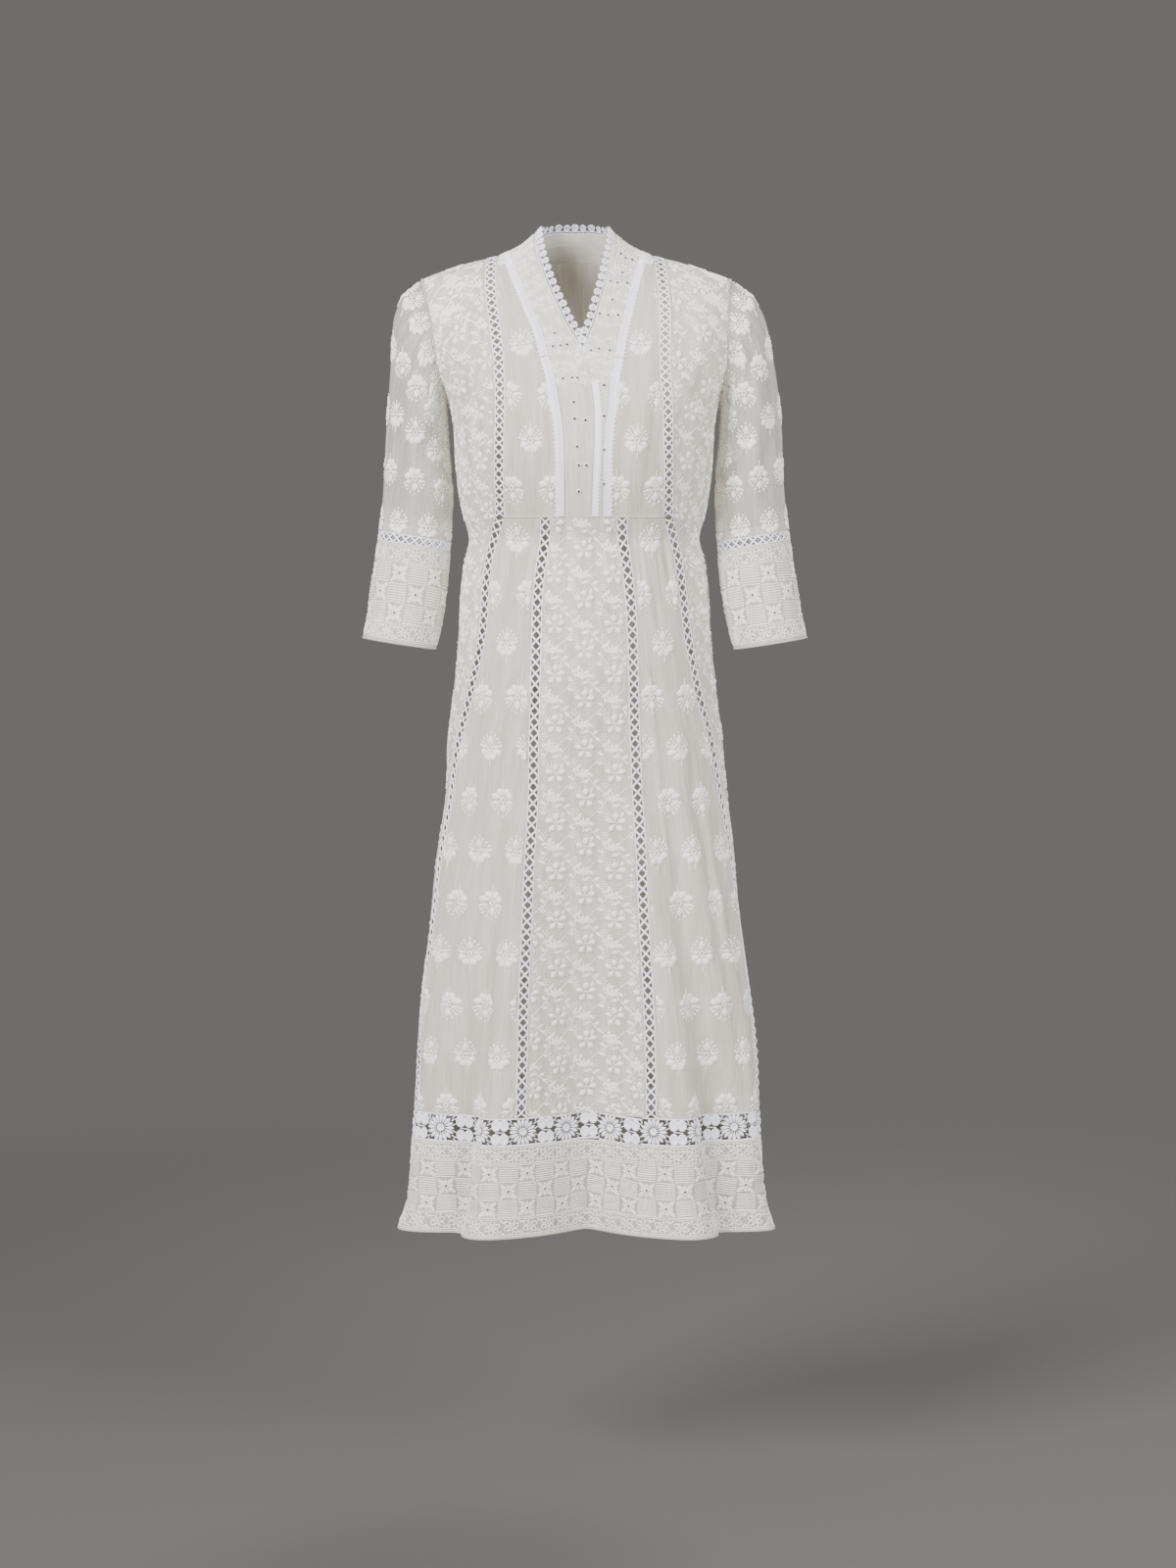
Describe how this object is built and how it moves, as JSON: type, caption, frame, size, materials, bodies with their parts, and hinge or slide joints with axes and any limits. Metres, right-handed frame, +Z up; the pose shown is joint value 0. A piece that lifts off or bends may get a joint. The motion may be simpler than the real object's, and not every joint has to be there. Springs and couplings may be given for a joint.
{
  "type": "anarkali gown",
  "caption": "Hollow worn-form anarkali gown: V neck with a beaded band, laced princess seams, elbow sleeves with corded cuffs, flared panelled skirt with a lace and corded hem.",
  "frame": {"origin": "midway between the two shoulder seams at the side of the neck, where the wearer's shoulders hold it", "axes": "+Z up along the wearer, front towards -Y, the wearer's left towards +X"},
  "size_m": [0.5479, 0.2773, 1.244],
  "materials": {
    "embroidered_mul": "off-white fine cotton with white thread embroidery",
    "sheer_organza": "sheer off-white cotton organza with scattered sprigs",
    "cotton_lace": "white cotton bobbin lace with a lilac cast",
    "beaded_band": "cream thread embroidery with small dark beads",
    "corded_border": "cream net worked with corded squares"
  },
  "bodies": {
    "root": {"back_bodice": "embroidered_mul", "back_skirt": "embroidered_mul", "band_lace_left": "cotton_lace", "band_lace_right": "cotton_lace", "cuff_left": "corded_border", "cuff_right": "corded_border", "hem_border_back": "corded_border", "hem_border_front": "corded_border", "hem_lace_back": "cotton_lace", "hem_lace_front": "cotton_lace", "neck_band_back": "beaded_band", "neck_band_left": "beaded_band", "neck_band_right": "beaded_band", "neck_edging_back": "cotton_lace", "neck_edging_left": "cotton_lace", "neck_edging_right": "cotton_lace", "placket_lace": "cotton_lace", "side_insertion_left": "cotton_lace", "side_insertion_right": "cotton_lace", "side_panel_left": "embroidered_mul", "side_panel_right": "embroidered_mul", "skirt_insertion_left": "cotton_lace", "skirt_insertion_right": "cotton_lace", "skirt_middle": "embroidered_mul", "skirt_panel_left": "embroidered_mul", "skirt_panel_right": "embroidered_mul", "sleeve_insertion_left_back": "cotton_lace", "sleeve_insertion_left_front": "cotton_lace", "sleeve_insertion_right_back": "cotton_lace", "sleeve_insertion_right_front": "cotton_lace", "sleeve_left_back": "sheer_organza", "sleeve_left_front": "sheer_organza", "sleeve_right_back": "sheer_organza", "sleeve_right_front": "sheer_organza", "yoke_insertion_left": "cotton_lace", "yoke_insertion_right": "cotton_lace", "yoke_panel_left": "embroidered_mul", "yoke_panel_right": "embroidered_mul"}
  },
  "joints": []
}
